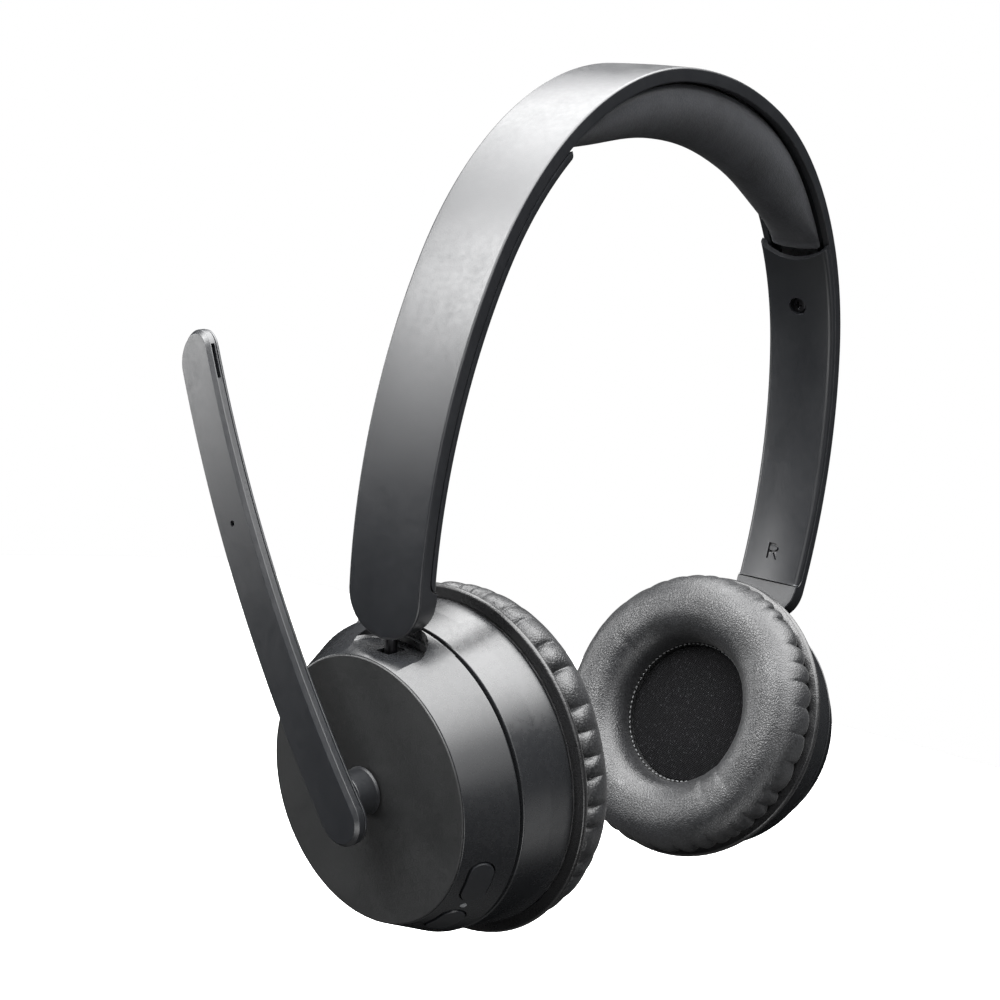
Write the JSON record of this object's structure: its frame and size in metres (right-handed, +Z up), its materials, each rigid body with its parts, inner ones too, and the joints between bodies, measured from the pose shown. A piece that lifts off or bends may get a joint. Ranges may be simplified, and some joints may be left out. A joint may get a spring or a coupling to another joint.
{
  "type": "office headset",
  "caption": "Wireless on-ear office headset: slim arched headband with padded crown, round swivelling ear cups with leatherette pads, and a flat swinging microphone boom.",
  "frame": {"origin": "inner crown of the headband cushion, where the band rests on the head", "axes": "+X to the wearer's right, +Y forward, +Z up"},
  "size_m": [0.1807, 0.0934, 0.1842],
  "materials": {
    "satin_shell": "satin moulded, fine grain",
    "satin_cover": "satin moulded",
    "matte_housing": "matte moulded, fine grain",
    "gloss_ring": "semi-gloss moulded",
    "inner_plastic": "moulded",
    "leatherette": "black protein leatherette, fine grain",
    "acoustic_cloth": "black knitted acoustic cloth over foam",
    "spring_steel": "satin",
    "dark_steel": "black oxide",
    "board": "solder-masked board",
    "cell": "foil pouch",
    "light_pipe": "milky clear"
  },
  "bodies": {
    "headband": {"headband_shell": "satin_shell", "headband_spring": "spring_steel", "headband_cushion": "leatherette", "arm_cover_left": "satin_cover", "arm_cover_right": "satin_cover", "cover_screw_left": "dark_steel", "cover_screw_right": "dark_steel"},
    "slider_left": {"slider_left": "dark_steel"},
    "slider_right": {"slider_right": "dark_steel"},
    "swivel_left": {"swivel_axle_left": "spring_steel"},
    "swivel_right": {"swivel_axle_right": "spring_steel"},
    "cup_left": {"housing_left": "matte_housing", "ring_left": "gloss_ring", "baffle_left": "inner_plastic", "driver_left": "dark_steel", "pad_ring_left": "inner_plastic", "ear_pad_left": "leatherette", "acoustic_cloth_left": "acoustic_cloth", "circuit_board": "board", "led_light_pipe": "light_pipe", "charge_port": "spring_steel"},
    "cup_right": {"housing_right": "matte_housing", "ring_right": "gloss_ring", "baffle_right": "inner_plastic", "driver_right": "dark_steel", "pad_ring_right": "inner_plastic", "ear_pad_right": "leatherette", "acoustic_cloth_right": "acoustic_cloth", "battery": "cell"},
    "multifunction_button": {"multifunction_button": "matte_housing"},
    "volume_button": {"volume_button": "matte_housing"},
    "boom": {"boom_hub": "satin_cover", "boom_washer": "spring_steel", "boom_front": "satin_shell", "boom_back": "satin_cover", "talk_microphone": "spring_steel", "noise_microphone": "spring_steel"}
  },
  "joints": [
    {"name": "left_size_slide", "type": "hinge", "parent": "headband", "child": "slider_left", "pos_m": [0.03702, 0, -0.0775], "axis": [0, -1, 0], "range_deg": [0, 11.5]},
    {"name": "right_size_slide", "type": "hinge", "parent": "headband", "child": "slider_right", "pos_m": [-0.03702, 0, -0.0775], "axis": [0, 1, 0], "range_deg": [0, 11.5]},
    {"name": "left_swivel", "type": "hinge", "parent": "slider_left", "child": "swivel_left", "pos_m": [-0.07946, 0, -0.11328], "axis": [-0.2206, 0, 0.9754], "range_deg": [-3.6, 20.4]},
    {"name": "right_swivel", "type": "hinge", "parent": "slider_right", "child": "swivel_right", "pos_m": [0.07946, 0, -0.11328], "axis": [0.2206, 0, 0.9754], "range_deg": [-3.6, 20.4]},
    {"name": "left_tilt", "type": "hinge", "parent": "swivel_left", "child": "cup_left", "pos_m": [-0.07946, 0, -0.11328], "axis": [-0.1425, -0.9893, -0.0322], "range_deg": [-6, 6]},
    {"name": "right_tilt", "type": "hinge", "parent": "swivel_right", "child": "cup_right", "pos_m": [0.07946, 0, -0.11328], "axis": [0.1425, 0.9893, -0.0322], "range_deg": [-6, 6]},
    {"name": "boom_swing", "type": "hinge", "parent": "cup_left", "child": "boom", "pos_m": [-0.08004, 0.00088, -0.13761], "axis": [-0.9649, 0.1461, -0.2183], "range_deg": [-186, 110]},
    {"name": "multifunction_press", "type": "slide", "parent": "cup_left", "child": "multifunction_button", "axis": [0.4618, 0.7554, 0.4649], "range_m": [0, 0.0006], "stiffness_N_per_m": 400},
    {"name": "volume_press", "type": "slide", "parent": "cup_left", "child": "volume_button", "axis": [0.3517, 0.5083, 0.7861], "range_m": [0, 0.0006], "stiffness_N_per_m": 400}
  ]
}
